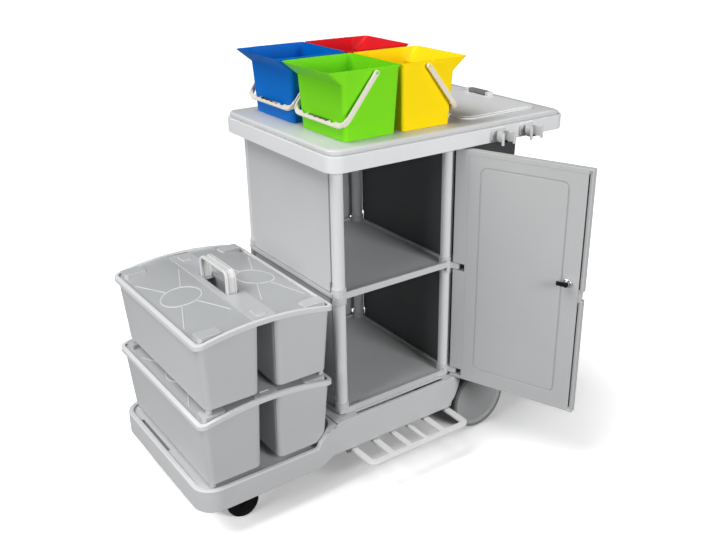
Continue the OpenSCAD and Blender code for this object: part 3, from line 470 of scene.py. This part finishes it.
# %% Floor finish
studio = bpy.data.materials.new("studio_white")
studio.use_nodes = True
studio_nodes, studio_links = studio.node_tree.nodes, studio.node_tree.links
studio_tone = place_group(studio.node_tree, FLOW, object_place(studio.node_tree), Colour=(1.5, 1.5, 1.5, 1),
                          Amount=0.01)
bright = studio_nodes.new("ShaderNodeBsdfDiffuse")
studio_links.new(studio_tone.outputs["Colour"], bright.inputs["Color"])
dull = studio_nodes.new("ShaderNodeBsdfDiffuse")
dull.inputs["Color"].default_value = (0.22, 0.22, 0.22, 1)
either = studio_nodes.new("ShaderNodeMixShader")
studio_links.new(studio_nodes.new("ShaderNodeLightPath").outputs["Is Camera Ray"], either.inputs["Fac"])
studio_links.new(dull.outputs["BSDF"], either.inputs[1])
studio_links.new(bright.outputs["BSDF"], either.inputs[2])
studio_links.new(either.outputs["Shader"], studio_nodes["Material Output"].inputs["Surface"])
floor.data.materials.append(studio)
print("floor finish:", studio.name)

# %% [markdown]
# Now every node takes its finish: its own, where it has one, or else that of its slot. The copies made in
# the next steps carry it along.

# %% A finish for every node
SLOT_OF = {row["node"]: row["material_slot"] for row in frame["record"]["subparts"]}
for node, thing in frame["nodes"].items():
    thing.data.materials.clear()
    thing.data.materials.append(FINISH.get(node, FINISH[SLOT_OF[node]]))
print("nodes with a finish:", len(SLOT_OF))

# %% [markdown]
# ## Soft edges
# Every moulding leaves its tool with small radii: light catches them, and they are most of what makes
# plastic look like plastic. A bevel modifier would round every edge alike, so the edges are chosen in
# code, by their angle and place, and the bevel operator rounds them.

# %% Choose and round edges
HARD_EDGE = math.radians(38)


def hard_edges(mesh, where):
    found = []
    for edge in mesh.edges:
        if len(edge.link_faces) == 2 and edge.calc_face_angle(0.0) > HARD_EDGE:
            middle = on_cart((edge.verts[0].co + edge.verts[1].co) / 2)
            if where is None or where(middle):
                found.append(edge)
    return found


def round_edges(piece, width, segments, where):
    only(piece)
    bpy.ops.object.mode_set(mode="EDIT")
    bpy.ops.mesh.select_mode(type="EDGE")
    bpy.ops.mesh.select_all(action="DESELECT")
    mesh = bmesh.from_edit_mesh(piece.data)
    chosen = hard_edges(mesh, where)
    for edge in chosen:
        edge.select = True
    mesh.select_flush_mode()
    bmesh.update_edit_mesh(piece.data)
    if chosen:
        bpy.ops.mesh.bevel(offset=width, segments=segments, affect="EDGES", clamp_overlap=False,
                           loop_slide=False)
    bpy.ops.object.mode_set(mode="OBJECT")


print("an edge is hard above", round(math.degrees(HARD_EDGE)), "degrees")

# %% [markdown]
# A solid's mesh is loose triangles. Each copy has its doubles merged and its flat triangles joined into
# clean faces before it is bevelled, and afterwards its normals are weighted by area, which keeps wide
# faces flat.

# %% Copy and smooth
KEEPS_TRIANGLES = ("tool_rack",)
MERGE_DISTANCE = 0.00003
FLAT_WITHIN = math.radians(0.6)
SMOOTH_WITHIN = math.radians(32)


def copied(node):
    source = frame["nodes"][node]
    piece = bpy.data.objects.new("shaped_" + node, source.data.copy())
    bpy.context.scene.collection.objects.link(piece)
    only(piece)
    bpy.ops.object.mode_set(mode="EDIT")
    bpy.ops.mesh.select_all(action="SELECT")
    bpy.ops.mesh.remove_doubles(threshold=MERGE_DISTANCE)
    if node not in KEEPS_TRIANGLES:
        bpy.ops.mesh.dissolve_limited(angle_limit=FLAT_WITHIN)
    bpy.ops.object.mode_set(mode="OBJECT")
    return piece


def smoothed(piece):
    only(piece)
    bpy.ops.object.shade_smooth_by_angle(angle=SMOOTH_WITHIN)
    even = piece.modifiers.new("even_normals", "WEIGHTED_NORMAL")
    even.keep_sharp = True
    bpy.ops.object.modifier_apply(modifier=even.name)


print("kept as triangles:", KEEPS_TRIANGLES)

# %% [markdown]
# At a crowded corner a bevel can throw a point off the moulding. No point of a rounded edge lies further
# out than a part of the bevel's width, so a point beyond that is brought back to the nearest place on the
# solid.

# %% Points that stray
STRAY_SHARE = 0.5


def pull_back(piece, node, reach):
    solid = frame["nodes"][node].data
    skin = BVHTree.FromPolygons([v.co for v in solid.vertices], [p.vertices for p in solid.polygons])
    strays = 0
    for vertex in piece.data.vertices:
        near, _, _, distance = skin.find_nearest(vertex.co)
        if distance > reach:
            vertex.co = near
            strays += 1
    return strays


def shaped(node, *passes):
    piece = copied(node)
    for width, segments, where in passes:
        round_edges(piece, width, segments, where)
    strays = pull_back(piece, node, STRAY_SHARE * max(width for width, _, _ in passes))
    if strays:
        print(node, "points pulled back:", strays)
    smoothed(piece)
    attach(piece, BODY_OF[node])
    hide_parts(node)
    return piece


print("share of a bevel's width that a point may stand off:", STRAY_SHARE)

# %% [markdown]
# The tray's rim has a large, soft edge, which goes on first. Then each moulding gets its own small
# radius, in metres. The shelves' hinge lugs stay sharp, because the doors turn close to them.

# %% Round every moulding
def on_tray_rim(point):
    return point.x < -0.055 and point.z > 0.1615


def off_the_lugs(point):
    return point.x < 0.348 or abs(point.y) < 0.226


LARGE = {"chassis": [(0.0045, 3, on_tray_rim)]}
PART_OF = {"lower_shelf": off_the_lugs, "mid_shelf": off_the_lugs}
SMALL_SEGMENTS = 2
SMALL = {
    "chassis": 0.0022, "lower_shelf": 0.0012, "mid_shelf": 0.0012, "top_frame": 0.0018, "top_deck": 0.0012,
    "bag_lid": 0.0012, "lid_grip": 0.0022, "tool_rack": 0.0022, "rack_runners": 0.0010,
    "handle_clips": 0.0010, "lower_posts": 0.0006, "upper_posts": 0.0006,
    "lower_left_panel": 0.0010, "upper_left_panel": 0.0010,
    "lower_partition": 0.0010, "upper_partition": 0.0010,
    "near_door": 0.0011, "far_door": 0.0011, "near_door_liner": 0.0003, "far_door_liner": 0.0003,
    "near_lock_barrel": 0.0006, "far_lock_barrel": 0.0006, "near_lock_cam": 0.0006, "far_lock_cam": 0.0006,
    "lower_caddy": 0.0010, "upper_caddy": 0.0010, "lower_caddy_lid": 0.0004, "upper_caddy_lid": 0.0004,
    "lower_caddy_handle": 0.0028, "upper_caddy_handle": 0.0028,
    "blue_bucket": 0.0008, "green_bucket": 0.0008, "red_bucket": 0.0008, "yellow_bucket": 0.0008,
    "blue_bail": 0.0012, "green_bail": 0.0012, "red_bail": 0.0012, "yellow_bail": 0.0012,
    "near_rear_wheel": 0.0008, "far_rear_wheel": 0.0008,
    "near_castor_fork": 0.0008, "far_castor_fork": 0.0008,
    "near_castor_wheel": 0.0006, "far_castor_wheel": 0.0006, "clip_screws": 0.0006, "bag_ring": 0.0008,
}
shaped_pieces = {}
for node, width in SMALL.items():
    last_pass = (width, SMALL_SEGMENTS, PART_OF.get(node))
    shaped_pieces[node] = shaped(node, *LARGE.get(node, ()), last_pass)
print("softened mouldings:", len(shaped_pieces))

# %% [markdown]
# ## Relief and painted highlights
# A lid follows an arch, and its ridges stand a little proud of it. Each face's height above the arch, its
# size and its distance from the lid's border say how strong a painted highlight the frosted plastic gets
# there. The caddy's rim follows the same arch, so the same measure finds it and paints its highlight.

# %% Painted highlights on lids and rims
ARCH_RADIUS, LID_CROWN = 0.8042, 0.2230
LID_HALF = (0.180, 0.257)
RIDGE_LOW, RIDGE_HIGH = 0.0006, 0.0017
EDGE_LOW, EDGE_AREA = 0.0002, 0.00006
RIM_DEPTH, RIM_INSIDE = 0.018, 0.012
COUNTS_AS_PALE = 0.4


def lid_highlight(above, border, area):
    """Painted highlight: most on borders, small edge faces and ridges, and a little on the pads."""
    if border > 0 or (above > EDGE_LOW and area < EDGE_AREA):
        return 0.9
    if RIDGE_LOW < above < RIDGE_HIGH:
        return 0.75
    return 0.3 if above > RIDGE_HIGH else 0.0


def rim_highlight(above, border, area):
    """Painted highlight: the rim, down to the foot of its lip, is paler than the bins below it."""
    return 0.45 if above > -RIM_DEPTH and border > -RIM_INSIDE else 0.0


def lay_painted_highlight(piece, middle_x, foot, rule):
    mark = piece.data.attributes.new("painted_highlight", "FLOAT", "FACE")
    pale = 0
    for face in piece.data.polygons:
        here = on_cart(face.center)
        x = here.x - middle_x
        arch = foot + LID_CROWN - ARCH_RADIUS + math.sqrt(ARCH_RADIUS ** 2 - x ** 2)
        border = max(abs(x) - LID_HALF[0], abs(here.y) - LID_HALF[1])
        mark.data[face.index].value = rule(here.z - arch, border, face.area)
        pale += mark.data[face.index].value > COUNTS_AS_PALE
    return pale


for tier, middle_x, foot in (("lower", -0.246, 0.1563), ("upper", -0.238, 0.3745)):
    on_lid = lay_painted_highlight(shaped_pieces[tier + "_caddy_lid"], middle_x, foot, lid_highlight)
    on_rim = lay_painted_highlight(shaped_pieces[tier + "_caddy"], middle_x, foot, rim_highlight)
    print(tier, "pale faces on lid and rim:", on_lid, on_rim)

# %% [markdown]
# ## The waste bag
# A coated cloth bag hangs from the ring under the lid. A plain box would look like a bin, and a cloth
# simulation would not keep to the ring, so the bag is lofted ring by ring from a rounded outline. Its
# foot is drawn in, its corners go slack, and soft pleats run down from the ring.

# %% Form of the bag
BAG_MIDDLE = (0.555, 0.0)
BAG_HALF = (0.119, 0.203)
BAG_FOOT, BAG_MOUTH = 0.2212, 0.9745
FOOT_DRAW, FOOT_RISE = 0.075, 0.16
SLACK, SLACK_START = 0.012, 0.25
PLEAT_DEPTH, PLEATS = 0.010, 9
CREASE_DEPTH, CREASES = 0.006, 5


def bag_point(turn, up):
    """Point of the bag's cloth at a turn round it and a share of its height."""
    c, s = math.cos(turn), math.sin(turn)
    squareness = 5.0 + 5.0 * up ** 2
    reach = (abs(c) ** squareness + abs(s) ** squareness) ** (-1.0 / squareness)
    drawn_in = FOOT_DRAW * (1.0 - min(1.0, up / FOOT_RISE)) ** 2
    slack = SLACK * math.sin(math.pi * min(1.0, max(0.0, (up - SLACK_START) / (1.0 - SLACK_START))))
    wander = 1.3 * math.sin(3 * turn) + 2.0 * up
    pleat = PLEAT_DEPTH * up ** 1.5 * (1 - up ** 10) * math.sin(PLEATS * turn + wander)
    crease = CREASE_DEPTH * math.sin(math.pi * up) * math.sin(CREASES * turn - 7.0 * up + 0.8)
    size = reach * (1.0 - drawn_in - slack - abs(pleat) * 0.6 + pleat * 0.4 - abs(crease))
    return placed(BAG_MIDDLE[0] + BAG_HALF[0] * c * size, BAG_MIDDLE[1] + BAG_HALF[1] * s * size,
                  BAG_FOOT + (BAG_MOUTH - BAG_FOOT) * up)


print("bag height:", round(BAG_MOUTH - BAG_FOOT, 3))

# %% [markdown]
# The modelling starts from a filled circle: insets give its floor rings to bend, and the border is
# extruded upward once per ring. Each point then moves to its place on the form.

# %% Model the bag
BAG_POINTS, BAG_RINGS = 128, 40
BLANK_RADIUS, BLANK_STEP = 0.1, 0.01
FLOOR_RINGS, FLOOR_STEP = 4, 0.018

bpy.ops.object.select_all(action="DESELECT")
bpy.ops.mesh.primitive_circle_add(vertices=BAG_POINTS, radius=BLANK_RADIUS, fill_type="NGON")
bag = bpy.context.active_object
bag.name = "waste_bag_cloth"
bpy.ops.object.mode_set(mode="EDIT")
bpy.ops.mesh.select_all(action="SELECT")
for _ in range(FLOOR_RINGS):
    bpy.ops.mesh.inset(thickness=FLOOR_STEP)
bpy.ops.mesh.select_all(action="DESELECT")
bpy.ops.mesh.select_mode(type="EDGE")
cloth = bmesh.from_edit_mesh(bag.data)
for edge in cloth.edges:
    if edge.is_boundary:
        edge.select = True
cloth.select_flush_mode()
bmesh.update_edit_mesh(bag.data)
for _ in range(BAG_RINGS):
    bpy.ops.mesh.extrude_region_move(TRANSFORM_OT_translate={"value": (0, 0, BLANK_STEP)})
cloth = bmesh.from_edit_mesh(bag.data)
middle = placed(*BAG_MIDDLE, BAG_FOOT)
for vertex in cloth.verts:
    turn = math.atan2(vertex.co.y, vertex.co.x)
    if vertex.co.z < BLANK_STEP / 2:
        vertex.co = middle.lerp(bag_point(turn, 0.0), vertex.co.xy.length / BLANK_RADIUS)
    else:
        vertex.co = bag_point(turn, round(vertex.co.z / BLANK_STEP) / BAG_RINGS)
bmesh.update_edit_mesh(bag.data)
print("bag points:", len(cloth.verts))

# %% [markdown]
# The shell gets its UV map and then its thickness, inward, so that the bag keeps its size. It stands for
# the plain solid, which stays in the model for contact.

# %% Cloth wall
CLOTH_THICKNESS = 0.0012

bpy.ops.mesh.select_all(action="SELECT")
bpy.ops.mesh.normals_make_consistent(inside=False)
bpy.ops.uv.cube_project(cube_size=1.0)
bpy.ops.object.mode_set(mode="OBJECT")
wall = bag.modifiers.new("cloth_wall", "SOLIDIFY")
wall.thickness = CLOTH_THICKNESS
wall.offset = -1.0
bpy.ops.object.modifier_apply(modifier=wall.name)
bpy.ops.object.shade_smooth()
bag.data.materials.append(FINISH["bag_fabric"])
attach(bag, "frame")
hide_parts("waste_bag")
print("bag faces:", len(bag.data.polygons))

# %% Finish
new_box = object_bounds()
growth = zip(cad_box[1] - cad_box[0], new_box[1] - new_box[0])
print("size grows by:", [round(new - cad, 4) for cad, new in growth])
